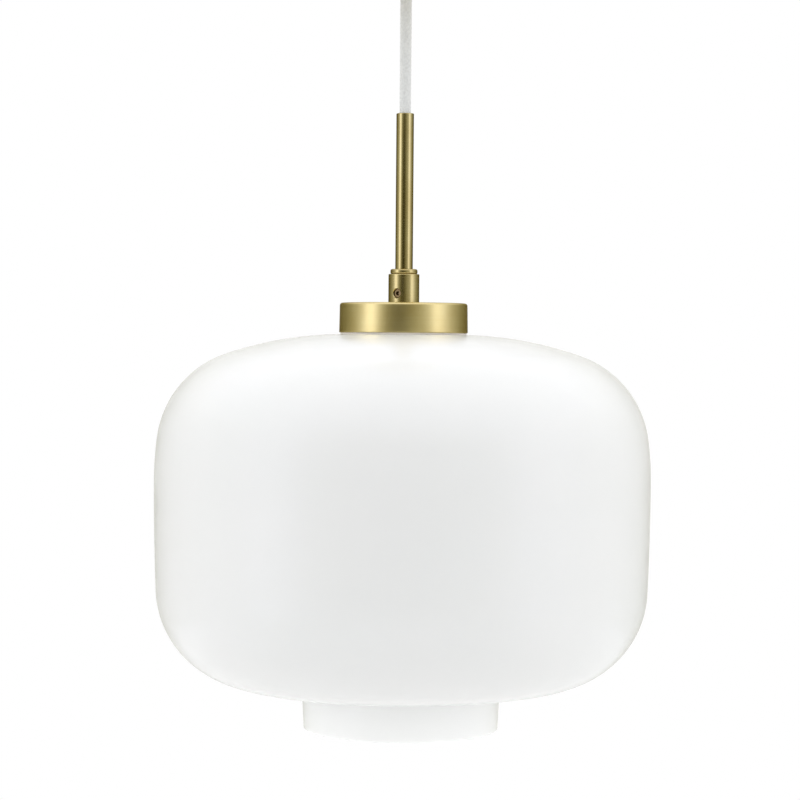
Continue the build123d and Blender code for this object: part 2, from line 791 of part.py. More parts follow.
def contact_block(side, inner_x, outer_x):
    """A brass contact strap on top of the core, with its screw block and wire hole."""
    with BuildPart() as strap:
        with BuildSketch(Plane.XY.offset(core_top)):
            with Locations((side * (inner_x + outer_x) / 2, 0)):
                Rectangle(outer_x - inner_x, leg_width)
        extrude(amount=strap_thickness)
        with BuildSketch(Plane.XY.offset(core_top)):
            with Locations((side * holder_block_offset, 0)):
                Rectangle(holder_block_size, holder_block_size)
        extrude(amount=holder_block_height)
        with BuildSketch(Plane.YZ.offset(side * (holder_block_offset - holder_block_size))):
            with Locations((wire_y, wire_entry_z)):
                Circle(block_hole_radius)
        extrude(amount=side * 2 * holder_block_size, mode=Mode.SUBTRACT)
        with BuildSketch(Plane.XY.offset(wire_entry_z)):
            with Locations((side * holder_block_offset, 0)):
                Circle(terminal_screw_diameter / 2)
        extrude(amount=holder_block_height, mode=Mode.SUBTRACT)
    return strap


live_strap = contact_block(-1, 0.0, holder_block_offset)
with BuildPart() as centre_contact:
    add(live_strap.part)
    with BuildSketch(Plane.XY.offset(disc_foot)):
        Circle(stem_radius)
    extrude(amount=core_disc_height + strap_thickness)
    with BuildSketch(Plane.XY.offset(contact_foot)):
        Circle(contact_radius)
    extrude(amount=disc_foot - contact_foot)

neutral_strap = contact_block(1, holder_block_offset - holder_block_size / 2, leg_outer)
with BuildPart() as side_contact:
    add(neutral_strap.part)
    with BuildSketch(Plane.XY.offset(disc_foot)):
        with Locations((leg_outer - leg_thickness / 2, 0)):
            Rectangle(leg_thickness, leg_width)
    extrude(amount=core_disc_height + strap_thickness)

holder_screw_tip = wire_entry_z + core_radius + holder_screw_gap
with BuildPart() as lampholder_screws:
    with BuildSketch(Plane.XY.offset(holder_screw_tip)):
        with GridLocations(2 * holder_block_offset, 1, 2, 1):
            Circle(terminal_screw_diameter / 2)
    extrude(amount=core_top + holder_block_height + holder_screw_stand - holder_screw_tip)


def holder_core(index, side):
    """One core from the flex's foot, down and out to its screw block."""
    x, y = core_place(index)
    return wire([(x, y, flex_foot), (x, y, wire_entry_z), (side * holder_block_offset, y, wire_entry_z)],
                core_bend_radius)


holder_core_brown = holder_core(0, -1)
holder_core_blue = holder_core(1, 1)
earth_x, earth_y = core_place(2)
tag_reach = boss_radius + tag_wire_reach
tag_wire_z = flex_foot - tag_wire_drop
holder_core_earth = wire([
    (earth_x, earth_y, flex_foot), (earth_x, earth_y, tag_wire_z), (earth_x, tag_reach, tag_wire_z),
    (earth_x, tag_reach, earth_nut_top),
], tight_bend_radius)

# ---------------------------------------------------------------- bulb
tip_face_radius = tip_radius * tip_face_share
bulb_tip = turned(
    (0, bulb_insulator_top), (0, bulb_top), (tip_face_radius, bulb_top), (tip_radius, bulb_insulator_top),
    rounds=[((tip_face_radius, bulb_top), tip_round)],
)
bulb_insulator = turned(
    (0, bulb_cap_top), (0, bulb_insulator_top), (tip_radius + insulator_margin, bulb_insulator_top),
    (bulb_cap_radius - insulator_step, bulb_cap_top),
)
bulb_screw_cap = tube(bulb_cap_radius, bulb_cap_radius - bulb_cap_wall, bulb_cap_top, housing_top)

housing_throat = bulb_cap_radius + housing_step
housing_ceiling = housing_top - housing_wall
seam_height = housing_foot - bulb_centre
seam_radius = sqrt(bulb_radius ** 2 - seam_height ** 2)
waist_z = (housing_top + housing_foot) / 2
waist_radius = housing_throat + housing_waist_share * (seam_radius - housing_throat)
with BuildPart() as bulb_housing:
    with BuildSketch(Plane.XZ):
        with BuildLine():
            ThreePointArc((housing_throat, housing_top), (waist_radius, waist_z), (seam_radius, housing_foot))
            Line((seam_radius, housing_foot), (seam_radius - housing_wall, housing_foot))
            ThreePointArc((seam_radius - housing_wall, housing_foot),
                          (waist_radius - housing_wall, waist_z),
                          (housing_throat - housing_wall, housing_ceiling))
            Polyline((housing_throat - housing_wall, housing_ceiling),
                     (housing_hole_radius, housing_ceiling), (housing_hole_radius, housing_top),
                     (housing_throat, housing_top))
        make_face()
    revolve(axis=Axis.Z)

board_radius = seam_radius - housing_wall - board_gap
led_board = tube(board_radius, board_hole_radius, housing_foot + board_thickness, housing_foot)
with BuildPart() as leds:
    with BuildSketch(Plane.XY.offset(housing_foot - led_height)):
        with PolarLocations(board_radius * led_circle_share, led_count):
            Rectangle(led_size, led_size)
    extrude(amount=led_height)

seam_turn = degrees(asin(seam_height / bulb_radius))
inner_radius = bulb_radius - diffuser_wall
inner_turn = degrees(asin(seam_height / inner_radius))
inner_seam = sqrt(inner_radius ** 2 - seam_height ** 2)
with BuildPart() as bulb_diffuser:
    with BuildSketch(Plane.XZ):
        with BuildLine():
            CenterArc((0, bulb_centre), bulb_radius, -90, 90 + seam_turn)
            Line((seam_radius, housing_foot), (inner_seam, housing_foot))
            CenterArc((0, bulb_centre), inner_radius, -90, 90 + inner_turn)
            Line((0, bulb_foot), (0, bulb_foot + diffuser_wall))
        make_face()
    revolve(axis=Axis.Z)

# ---------------------------------------------------------------- one file for each piece
pieces = {
    "ceiling_bracket": ceiling_bracket,
    "canopy": canopy,
    "canopy_side_screws": canopy_side_screws,
    "bracket_earth_screw": bracket_earth_screw,
    "cord_grip": cord_grip,
    "cord_grip_screw": cord_grip_screw,
    "cord_grip_nut": cord_grip_nut,
    "flex_in_canopy": flex_in_canopy,
    "terminal_block": terminal_block,
    "terminal_inserts": terminal_inserts,
    "terminal_screws": terminal_screws,
    "terminal_block_screw": terminal_block_screw,
    "canopy_core_brown": canopy_core_brown,
    "canopy_core_blue": canopy_core_blue,
    "canopy_core_earth": canopy_core_earth,
    "bracket_earth_lead": bracket_earth_lead,
    "flex": flex,
    "down_rod": down_rod,
    "rod_mouth_bush": rod_mouth_bush,
    "rod_foot_ring": rod_foot_ring,
    "clamp_collar": clamp_collar,
    "collar_grub_screw": collar_grub_screw,
    "flex_in_rod": flex_in_rod,
    "nipple": nipple,
    "shade_cap": shade_cap,
    "nipple_washer": nipple_washer,
    "nipple_locknut": nipple_locknut,
    "earth_tag": earth_tag,
    "earth_nut": earth_nut,
    "cap_gasket": cap_gasket,
    "glass_shade": glass_shade,
    "ring_gasket": ring_gasket,
    "shade_ring": shade_ring,
    "lampholder_dome": lampholder_dome,
    "lampholder_skirt": lampholder_skirt,
    "lampholder_core": lampholder_core,
    "screw_shell": screw_shell,
    "centre_contact": centre_contact,
    "side_contact": side_contact,
    "lampholder_screws": lampholder_screws,
    "holder_core_brown": holder_core_brown,
    "holder_core_blue": holder_core_blue,
    "holder_core_earth": holder_core_earth,
    "bulb_tip": bulb_tip,
    "bulb_insulator": bulb_insulator,
    "bulb_screw_cap": bulb_screw_cap,
    "bulb_housing": bulb_housing,
    "led_board": led_board,
    "leds": leds,
    "bulb_diffuser": bulb_diffuser,
}

os.makedirs("parts", exist_ok=True)
for name, piece in pieces.items():
    piece.part.label = name
    export_step(piece.part, f"parts/{name}.step")

print(f"flex: one straight run of {cord_free_length:.0f} mm, no bends")
print(f"cap rim at {cap_rim:.1f}, shade middle at {glass_middle:.1f}, lowest point at {neck_foot:.1f}")
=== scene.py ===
# %% [markdown]
# # A pendant ceiling light
# The lamp is a big opal glass shade under a shallow brass cap. A slim brass rod and a straight textile
# flex carry it from a round canopy on the ceiling. The working parts come from the CAD frame, in metres,
# and this lesson builds the surfaces that people see around that frame. It never moves a CAD part.

# %% Load the frame
import json
from math import atan2, cos, degrees, pi, radians, sin, sqrt, tan

import bmesh
import bpy
from mathutils import Matrix, Vector


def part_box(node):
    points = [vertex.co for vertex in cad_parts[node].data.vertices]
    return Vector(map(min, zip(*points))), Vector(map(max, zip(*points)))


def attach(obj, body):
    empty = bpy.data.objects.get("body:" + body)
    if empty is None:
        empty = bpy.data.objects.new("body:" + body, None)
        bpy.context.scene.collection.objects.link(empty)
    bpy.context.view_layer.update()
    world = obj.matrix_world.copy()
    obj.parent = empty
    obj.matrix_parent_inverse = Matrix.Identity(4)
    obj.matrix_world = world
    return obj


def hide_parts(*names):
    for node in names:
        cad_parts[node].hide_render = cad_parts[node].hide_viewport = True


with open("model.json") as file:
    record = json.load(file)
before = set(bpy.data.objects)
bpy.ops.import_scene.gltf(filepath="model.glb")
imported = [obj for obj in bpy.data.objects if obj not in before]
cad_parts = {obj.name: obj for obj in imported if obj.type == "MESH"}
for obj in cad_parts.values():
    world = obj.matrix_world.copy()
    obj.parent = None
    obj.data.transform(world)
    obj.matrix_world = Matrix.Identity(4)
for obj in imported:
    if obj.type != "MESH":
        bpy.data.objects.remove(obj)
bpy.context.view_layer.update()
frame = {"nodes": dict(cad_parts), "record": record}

mm = 0.001


# %% [markdown]
# ## Places from the frame
# Everything round on this lamp shares one axis, X = Y = 0, so a piece is placed by its heights and its
# radii. Both come from the boxes of the CAD nodes, which keeps the pieces right if the CAD changes.

# %% Heights and radii of the CAD nodes
def top(node):
    """Height of a CAD node's highest point."""
    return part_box(node)[1][2]


def foot(node):
    """Height of a CAD node's lowest point."""
    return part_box(node)[0][2]


def radius(node):
    """Outer radius of a round CAD node, read across X."""
    low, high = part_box(node)
    return (high[0] - low[0]) / 2


cord_radius = 3.5 * mm
rod_mouth = top("down_rod")


# %% [markdown]
# ## The camera
# A pendant is best seen from some way off through a long lens, which keeps its sides upright.
# The camera here stands 1.45 m in front of the lamp, just below the height of the cap's rim, and looks
# slightly down. A wide lens on a nearer camera would not do: the neck's rim would curve too much.

# %% Camera
camera_distance = 1454.7 * mm
camera_height = -267 * mm
camera_lens = 108.0
look_down = radians(1.31)
lean = radians(0.45)
camera_aside = -1.8 * mm

camera = bpy.data.objects.new("camera", bpy.data.cameras.new("camera"))
bpy.context.scene.collection.objects.link(camera)
camera.data.lens = camera_lens
camera.location = (camera_aside, -camera_distance, camera_height)
aim = Matrix.Rotation(pi / 2 - look_down, 4, "X") @ Matrix.Rotation(lean, 4, "Z")
camera.rotation_mode = "QUATERNION"
camera.rotation_quaternion = aim.to_quaternion()
bpy.context.scene.camera = camera


# %% [markdown]
# ## Meshes from turned sections
# Nearly every piece is turned on a lathe or blown against a form, so one builder makes them all: it takes
# the outline of half the piece and carries it round the axis. The outline may change with the angle,
# which also makes braids, threads and scallops. A closed outline gives a closed mesh without loose faces.

# %% Helpers that make meshes
def mesh_object(name, points, faces, smooth_angle=35.0):
    """An object from points and faces, shaded smooth except across corners sharper than the angle."""
    mesh = bpy.data.meshes.new(name)
    mesh.from_pydata(points, [], faces)
    mesh.validate()
    mesh.shade_smooth()
    mesh.set_sharp_from_angle(angle=radians(smooth_angle))
    piece = bpy.data.objects.new(name, mesh)
    bpy.context.scene.collection.objects.link(piece)
    return piece


def turn_section(name, section_at, steps=192, closed=True, smooth_angle=35.0):
    """A round piece. section_at(angle) gives the outline there, as (radius, height) points.

    A closed outline is a loop. An open one starts and ends on the axis, at radius 0.
    """
    points, faces = [], []
    count = len(section_at(0.0))
    for step in range(steps):
        angle = 2 * pi * step / steps
        for r, z in section_at(angle):
            points.append((r * sin(angle), -r * cos(angle), z))
    spans = count if closed else count - 1
    for step in range(steps):
        here, there = step * count, (step + 1) % steps * count
        for i in range(spans):
            j = (i + 1) % count
            faces.append((here + i, here + j, there + j, there + i))
    piece = mesh_object(name, points, faces, smooth_angle)
    if not closed:
        close_poles(piece)
    return piece


def close_poles(piece):
    """Joins the points that an open outline leaves on the axis into one point at each end."""
    mesh = bmesh.new()
    mesh.from_mesh(piece.data)
    bmesh.ops.remove_doubles(mesh, verts=mesh.verts, dist=1e-7)
    bmesh.ops.recalc_face_normals(mesh, faces=mesh.faces)
    mesh.to_mesh(piece.data)
    mesh.free()


def rounded(corners, steps=6):
    """An outline with its corners rounded. Each corner is (radius, height, rounding)."""
    outline = []
    for i, (r, z, size) in enumerate(corners):
        here = Vector((r, z))
        if size <= 0:
            outline.append((r, z))
            continue
        back = (Vector(corners[i - 1][:2]) - here).normalized()
        ahead = (Vector(corners[(i + 1) % len(corners)][:2]) - here).normalized()
        half = back.angle(ahead) / 2
        centre = here + (back + ahead).normalized() * size / sin(half)
        start = here + back * size / tan(half) - centre
        end = here + ahead * size / tan(half) - centre
        turn = atan2(start.x * end.y - start.y * end.x, start.dot(end))
        for step in range(steps + 1):
            a = turn * step / steps
            outline.append((centre.x + start.x * cos(a) - start.y * sin(a),
                            centre.y + start.x * sin(a) + start.y * cos(a)))
    return outline


def lathe(name, corners, steps=192, rounding_steps=6):
    """A turned piece from (radius, height, rounding) corners of its half section, in metres."""
    outline = rounded(corners, rounding_steps)
    return turn_section(name, lambda angle: outline, steps)


def thread(angle, height, pitch, depth):
    """How far a rounded right-hand thread stands out at that angle and height."""
    return depth * 0.5 * (1 + cos(2 * pi * (height / pitch - angle / (2 * pi))))


# %% [markdown]
# ## Materials from nodes
# Each finish is one function that returns a node material, with its grain at the real scale. Bump and
# roughness come from noise in the piece's own coordinates, so the grain stays put when a piece moves.

# %% Helpers that make materials
def material(name, colour, roughness, metallic=0.0, **sockets):
    """A new material with its plain values set. Returns it with its node tree and its shader."""
    made = bpy.data.materials.new(name)
    made.use_nodes = True
    shader = made.node_tree.nodes["Principled BSDF"]
    shader.inputs["Base Color"].default_value = (*colour, 1.0)
    shader.inputs["Roughness"].default_value = roughness
    shader.inputs["Metallic"].default_value = metallic
    for socket, value in sockets.items():
        shader.inputs[socket.replace("_", " ")].default_value = value
    return made, made.node_tree, shader


def node(tree, kind, links=(), **values):
    """A node of that kind. links pairs its inputs with other nodes' outputs; values set its inputs."""
    made = tree.nodes.new("ShaderNode" + kind)
    for key, value in values.items():
        if hasattr(made, key) and not key[0].isupper():
            setattr(made, key, value)
        else:
            made.inputs[key.replace("_", " ")].default_value = value
    for key, output in links:
        tree.links.new(output, made.inputs[key])
    return made


def noise(tree, coordinates, scale, detail=3.0, roughness=0.5):
    """Noise at that many lumps per metre of the coordinates."""
    return node(tree, "TexNoise", [("Vector", coordinates)], Scale=scale, Detail=detail,
                Roughness=roughness).outputs["Fac"]


def between(tree, value, low, high, from_low=0.3, from_high=0.7):
    """The value stretched to run from low to high."""
    return node(tree, "MapRange", [("Value", value)], From_Min=from_low, From_Max=from_high,
                To_Min=low, To_Max=high).outputs["Result"]


def colours_by(tree, value, *stops):
    """A colour ramp over a value. Each stop is (place, (red, green, blue))."""
    ramp = node(tree, "ValToRGB", [("Fac", value)])
    while len(ramp.color_ramp.elements) < len(stops):
        ramp.color_ramp.elements.new(0.5)
    for element, (position, colour) in zip(ramp.color_ramp.elements, stops):
        element.position = position
        element.color = (*colour, 1.0)
    return ramp.outputs["Color"]


def bump(tree, shader, height, depth, strength=1.0):
    """Raises the surface by the height value times depth metres, in shading only."""
    made = node(tree, "Bump", [("Height", height)], Strength=strength, Distance=depth)
    tree.links.new(made.outputs["Normal"], shader.inputs["Normal"])
    return made


def own_coordinates(tree):
    """The piece's own coordinates, in metres."""
    return node(tree, "TexCoord").outputs["Object"]


def turned_coordinates(tree, metres_per_radian=0.0003):
    """Coordinates for lathe marks: radius and height, with the angle counting very little."""
    split = node(tree, "SeparateXYZ", [("Vector", own_coordinates(tree))])
    flat = node(tree, "CombineXYZ", [("X", split.outputs["X"]), ("Y", split.outputs["Y"])])
    reach = node(tree, "VectorMath", [(0, flat.outputs["Vector"])], operation="LENGTH")
    angle = node(tree, "Math", [(0, split.outputs["X"]), (1, split.outputs["Y"])], operation="ARCTAN2")
    little = node(tree, "Math", [(0, angle.outputs["Value"])], operation="MULTIPLY")
    little.inputs[1].default_value = metres_per_radian
    joined = node(tree, "CombineXYZ", [("X", reach.outputs["Value"]), ("Y", split.outputs["Z"]),
                                       ("Z", little.outputs["Value"])])
    return joined.outputs["Vector"]


# %% [markdown]
# ### Satin brass
# The cap, rod, collar, ring and canopy are brass, brushed while they turn on the lathe and then
# lacquered. The brush leaves fine rings round the axis, so the noise is stretched along the angle. The
# colour drifts a little towards green-brown where the lacquer is thin. The rod is drawn tube and keeps
# a finer, glossier surface than the cap, and the collar and its ring lie between the two. The rod and
# the collar are also painted darker than the cap, as painted shade for the dimmer light they mirror. So
# the function takes the roughness, the depth of the marks and a factor for that painted shade.

# %% Satin brass
def satin_brass(name, roughness, grain, painted_shade_factor=1.0):
    """Brushed, lacquered brass. The last argument darkens its colour, as painted shade."""
    fine_per_metre, broad_per_metre, stains_per_metre = 5200, 1100, 55
    gloss_spread = 0.025
    made, tree, shader = material(name, (0.75, 0.62, 0.30), roughness, 1.0, Coat_Weight=0.12,
                                  Coat_Roughness=0.12, Coat_IOR=1.5)
    # The dark specular tint dims the brass's reflection at grazing angles and darkens its outlines. This
    # is painted shade, since real brass grows brighter there.
    shader.inputs["Specular Tint"].default_value = (0.22, 0.18, 0.08, 1.0)
    rings = turned_coordinates(tree)
    fine = noise(tree, rings, fine_per_metre, 2.0)
    broad = noise(tree, rings, broad_per_metre, 3.0)
    drift = noise(tree, own_coordinates(tree), stains_per_metre, 4.0)
    marks = node(tree, "Math", [(0, fine), (1, broad)], operation="ADD").outputs["Value"]
    shade = node(tree, "Math", [(0, drift), (1, between(tree, broad, -0.05, 0.05))], operation="ADD")
    # The colours are scaled down by the last argument: painted shade that makes the rod and collar darker.
    stops = [(position, tuple(painted_shade_factor * channel for channel in colour)) for position, colour in
             ((0.30, (0.69, 0.56, 0.25)), (0.50, (0.73, 0.61, 0.29)), (0.72, (0.77, 0.66, 0.33)))]
    tree.links.new(colours_by(tree, shade.outputs["Value"], *stops), shader.inputs["Base Color"])
    gloss = between(tree, marks, roughness - gloss_spread, roughness + gloss_spread, 0.7, 1.3)
    tree.links.new(gloss, shader.inputs["Roughness"])
    bump(tree, shader, marks, grain)
    return made


micron = 0.001 * mm
cap_brass = satin_brass("satin_brass_cap", 0.31, 1.8 * micron)
# The rod and the collar get darker copies of the brass colour: painted shade.
rod_brass = satin_brass("satin_brass_rod", 0.18, 0.4 * micron, 0.74)
collar_brass = satin_brass("satin_brass_collar", 0.23, 0.6 * micron, 0.78)


# %% [markdown]
# ### Opal glass
# The shade is blown opal glass: white all through, with a soft gloss on top. Blown glass is never quite
# even: a very shallow, wide waviness bends the reflections, and the white is a touch cooler in wide, faint
# clouds. Light spreads right through the thin wall, which is subsurface scattering: it keeps the inside
# of the shade bright, as real opal glass does by day.

# %% Opal glass
def opal_glass():
    """Softly glossy white glass with a shallow waviness and a faint film of handling marks."""
    clouds_per_metre, film_per_metre, waves_per_metre = 9, 38, 14
    wave_depth = 0.4 * mm
    made, tree, shader = material("opal_glass", (0.9, 0.91, 0.905), 0.2, IOR=1.52,
                                  Specular_IOR_Level=0.36, Subsurface_Weight=0.8,
                                  Subsurface_Scale=0.012)
    shader.inputs["Subsurface Radius"].default_value = (1.0, 0.99, 0.98)
    own = own_coordinates(tree)
    clouds = noise(tree, own, clouds_per_metre, 3.0)
    tree.links.new(colours_by(tree, clouds, (0.35, (0.885, 0.902, 0.897)),
                              (0.65, (0.905, 0.912, 0.908))), shader.inputs["Base Color"])
    film = noise(tree, own, film_per_metre, 6.0, 0.62)
    tree.links.new(between(tree, film, 0.17, 0.24), shader.inputs["Roughness"])
    bump(tree, shader, noise(tree, own, waves_per_metre, 1.0), wave_depth, 0.35)
    return made


opal = opal_glass()


# %% [markdown]
# ### Textile, plastics, steel and the rest
# The flex has a braided sleeve. The lampholder is moulded thermoplastic with a porcelain core. Nuts and
# screws are zinc-plated steel, the collar's screw is dark brown, and the cores wear coloured insulation.
# Each gets a short function or a row in a table, with its own grain.

# %% Textile
def braided_textile():
    """Light grey viscose yarn: fine fibres, a soft sheen and slightly uneven dye."""
    fibres_per_metre, dye_per_metre = 5200, 700
    fibre_depth = 0.06 * mm
    made, tree, shader = material("textile", (0.62, 0.62, 0.61), 0.62, Sheen_Weight=0.2,
                                  Sheen_Roughness=0.5)
    own = own_coordinates(tree)
    fibres = noise(tree, own, fibres_per_metre, 2.0)
    dye = noise(tree, own, dye_per_metre, 3.0)
    tree.links.new(colours_by(tree, dye, (0.3, (0.555, 0.565, 0.56)), (0.5, (0.61, 0.62, 0.615)),
                              (0.7, (0.66, 0.67, 0.665))), shader.inputs["Base Color"])
    bump(tree, shader, fibres, fibre_depth, 0.6)
    return made


# %% [markdown]
# Moulded plastic, plated steel and glazed porcelain differ only in colour, gloss and grain, so one
# function makes them all. The yellow stripe of the earth core comes from a wave texture.

# %% Moulded, plated and glazed finishes
def grained(name, colour, roughness, scale, depth, spread=0.04, metallic=0.0, **sockets):
    """A finish whose gloss and surface vary with its grain, and its colour in patches 12 times as wide."""
    gloss_spread = 0.08
    made, tree, shader = material(name, colour, roughness, metallic, **sockets)
    own = own_coordinates(tree)
    grain = noise(tree, own, scale, 4.0, 0.6)
    patches = noise(tree, own, scale / 12, 3.0)
    dark = tuple(max(c - spread, 0.0) for c in colour)
    light = tuple(min(c + spread * 0.6, 1.0) for c in colour)
    tree.links.new(colours_by(tree, patches, (0.3, dark), (0.7, light)), shader.inputs["Base Color"])
    gloss = between(tree, grain, max(roughness - gloss_spread, 0.02), roughness + gloss_spread)
    tree.links.new(gloss, shader.inputs["Roughness"])
    bump(tree, shader, grain, depth)
    return made


def striped_insulation():
    """Green insulation with a yellow stripe that winds round the core."""
    made, tree, shader = material("earth_insulation", (0.2, 0.5, 0.1), 0.38)
    waves = node(tree, "TexWave", [("Vector", own_coordinates(tree))], Scale=170.0, Distortion=0.4,
                 bands_direction="DIAGONAL")
    tree.links.new(colours_by(tree, waves.outputs["Fac"], (0.45, (0.06, 0.33, 0.07)),
                              (0.55, (0.80, 0.66, 0.05))), shader.inputs["Base Color"])
    bump(tree, shader, noise(tree, own_coordinates(tree), 900), 0.00003)
    return made


textile = braided_textile()
finishes = {
    "brushed_brass": cap_brass,
    "opal_glass": opal,
    "textile": textile,
    "steel": grained("zinc_plated_steel", (0.62, 0.62, 0.61), 0.34, 1500, 0.00001, 0.06, 1.0),
    # The collar's screw is coloured dark brown all over.
    "dark_steel": grained("dark_brown_steel", (0.17, 0.12, 0.06), 0.20, 1500, 0.00001, 0.03, 1.0),
    "nickel": grained("nickel_plate", (0.70, 0.68, 0.64), 0.24, 1100, 0.000008, 0.04, 1.0),
    "terminal_brass": grained("drawn_brass", (0.76, 0.58, 0.24), 0.30, 1300, 0.00001, 0.06, 1.0),
    "white_plastic": grained("moulded_plastic", (0.82, 0.82, 0.80), 0.42, 2600, 0.00002, 0.02),
    "porcelain": grained("porcelain_glaze", (0.86, 0.85, 0.80), 0.12, 260, 0.00004, 0.03),
    "gasket_rubber": grained("silicone", (0.72, 0.68, 0.64), 0.55, 1800, 0.00003, 0.03),
    "dark_insulator": grained("fused_glass", (0.02, 0.02, 0.025), 0.14, 500, 0.00003, 0.01),
    "brown_insulation": grained("brown_insulation", (0.24, 0.09, 0.03), 0.38, 900, 0.00003, 0.03),
    "blue_insulation": grained("blue_insulation", (0.02, 0.12, 0.50), 0.38, 900, 0.00003, 0.03),
    "earth_insulation": striped_insulation(),
    "board": grained("solder_mask", (0.86, 0.86, 0.85), 0.32, 2200, 0.00001, 0.03),
    "led_phosphor": grained("phosphor_gel", (0.88, 0.66, 0.10), 0.22, 1500, 0.00002, 0.05),
    "diffuser": grained("milky_diffuser", (0.88, 0.88, 0.87), 0.38, 1900, 0.00002, 0.02,
                        Subsurface_Weight=0.3, Subsurface_Scale=0.003),
}
print(len(finishes), "finishes")


# %% [markdown]
# ### Dress the CAD nodes
# Nodes that already have the right shape stay as they are and only get a finish. The record names a
# material slot for each node, so one loop dresses them all.

# %% Finishes for the CAD nodes
for part in frame["record"]["subparts"]:
    shown = frame["nodes"][part["node"]]
    shown.data.materials.clear()
    shown.data.materials.append(finishes[part["material_slot"]])
# The collar and its ring take the darker brass copy, whose darkness is painted shade.
for name in ("clamp_collar", "rod_foot_ring"):
    frame["nodes"][name].data.materials[0] = collar_brass


def place(piece, body, slot, finish, *nodes):
    """Gives a new piece its body and finish, and lets it stand for the CAD nodes. The slot is not used."""
    piece.data.materials.clear()
    piece.data.materials.append(finish)
    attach(piece, body)
    if nodes:
        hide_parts(*nodes)
    print(f"{piece.name}: {len(piece.data.vertices)} points on body {body}")


# %% [markdown]
# ## The taut flex
# The flex hangs straight, because the lamp pulls it tight, from the cord grip down into the rod. Its
# centreline is a smooth NURBS curve. The sleeve is braided: two sets of yarns wind round it in opposite
# directions and pass over and under each other. A bump map would do from afar, but a real braid also
# breaks up the outline, so the yarns are modelled in the mesh: the tube's radius follows the weave.

# %% The flex's centreline
flex_points = [(0, 0, -54 * mm), (0, 0, -90.5 * mm), (0, 0, -127 * mm)]
line = bpy.data.curves.new("flex_line", "CURVE")
line.dimensions = "3D"
spline = line.splines.new("NURBS")
spline.points.add(len(flex_points) - 1)
for point, spot in zip(spline.points, flex_points):
    point.co = (*spot, 1.0)
spline.order_u = 3
spline.use_endpoint_u = True
line.resolution_u = 24
line_object = bpy.data.objects.new("flex_line", line)
line_mesh = bpy.data.meshes.new_from_object(line_object)
flex_path = [tuple(vertex.co) for vertex in line_mesh.vertices]
bpy.data.objects.remove(line_object)
flex_length = sum((Vector(b) - Vector(a)).length for a, b in zip(flex_path, flex_path[1:]))
print(f"flex: {flex_length / mm:.1f} mm long, {2 * cord_radius / mm:.1f} mm across")


# %% [markdown]
# Two sets of rounded ridges climb round the sleeve in opposite directions. The product of their waves
# tells which yarn is on top at a crossing, and that one stands a little higher.

# %% The braided sleeve
yarns = 20
yarn_lead = 5.6 * mm
yarn_relief = 0.22 * mm
ridge_shape = 0.6
ridge_height, crossing_height = 0.72, 0.28


def braid(angle, height):
    """How deep the sleeve lies under its outermost yarns, at that angle and height."""
    one = yarns / 2 * (angle / pi) / 2 + height / yarn_lead * 2
    other = yarns / 2 * (angle / pi) / 2 - height / yarn_lead * 2
    crossing = sin(pi * one) * sin(pi * other)
    over = abs(sin(pi * one)) ** ridge_shape * (ridge_height + crossing_height * crossing)
    under = abs(sin(pi * other)) ** ridge_shape * (ridge_height - crossing_height * crossing)
    return yarn_relief * (1 - max(over, under))


def sleeve(name, low, high, rows_per_mm=4, steps=120):
    """A straight braided sleeve on the lamp's axis, closed by flat ends."""
    rows = int((high - low) / mm * rows_per_mm)
    heights = [low + (high - low) * row / rows for row in range(rows + 1)]

    def section(angle):
        side = [(cord_radius - braid(angle, z), z) for z in heights]
        return [(0.0, low)] + side + [(0.0, high)]

    return turn_section(name, section, steps, closed=False, smooth_angle=80.0)


flex = sleeve("flex_sleeve", flex_path[-1][2], flex_path[0][2])
place(flex, "cord", "textile", textile, "flex")


# %% [markdown]
# ## The glass shade
# The shade is one blown piece: a nearly flat crown under the cap, a tight shoulder, a gently bulging
# side, a second shoulder, a shallow base and a short straight neck with a fire-polished lip. A few
# circles that run into each other without a corner describe that outline, the way a mould maker would
# draw it. Subdividing a rough cage would be quicker, but it would not hold the true curve, and glossy
# glass shows every dent.

# %% Arcs that run into each other
def arc_points(centre, size, start, end, steps):
    """Points on a circle from one turn to another, in degrees up from level."""
    turns = [radians(start + (end - start) * step / steps) for step in range(steps + 1)]
    return [(centre[0] + size * cos(turn), centre[1] + size * sin(turn)) for turn in turns]


def skin(wall):
    """One skin of the shade, from the flat land at the top to the neck. wall is how far it is inset."""
    reach = radius("glass_shade")
    crown, upper, side = 218 * mm, 61.5 * mm, 192 * mm
    low_side, lower, base = 1670 * mm, 59.4 * mm, 330 * mm
    land, neck = 35.3 * mm, 60.1 * mm
    upper_turn, lower_turn = 7.7, -2.3
    side_at = (reach - side, 0.0)
    upper_at = (side_at[0] + (side - upper) * cos(radians(upper_turn)),
                side_at[1] + (side - upper) * sin(radians(upper_turn)))
    crown_at = (land, upper_at[1] - sqrt((crown - upper) ** 2 - (upper_at[0] - land) ** 2))
    crown_turn = degrees(atan2(upper_at[1] - crown_at[1], upper_at[0] - crown_at[0]))
    low_side_at = (reach - low_side, 0.0)
    lower_at = (low_side_at[0] + (low_side - lower) * cos(radians(lower_turn)),
                low_side_at[1] + (low_side - lower) * sin(radians(lower_turn)))
    base_at = (neck, lower_at[1] + sqrt((base - lower) ** 2 - (lower_at[0] - neck) ** 2))
    base_turn = degrees(atan2(lower_at[1] - base_at[1], lower_at[0] - base_at[0]))
    middle = top("glass_shade") - crown_at[1] - crown
    outline = (arc_points(crown_at, crown - wall, 90, crown_turn, 40)[:-1]
               + arc_points(upper_at, upper - wall, crown_turn, upper_turn, 36)[:-1]
               + arc_points(side_at, side - wall, upper_turn, 0, 16)[:-1]
               + arc_points(low_side_at, low_side - wall, 0, lower_turn, 24)[:-1]
               + arc_points(lower_at, lower - wall, lower_turn, base_turn, 40)[:-1]
               + arc_points(base_at, base - wall, base_turn, -90, 24))
    return [(r, z + middle) for r, z in outline]


# %% [markdown]
# The outer and the inner skin are joined at the hole in the crown and round the neck's lip. Every corner
# on the way is rounded, because glass has no sharp edge once it has been through the flame.

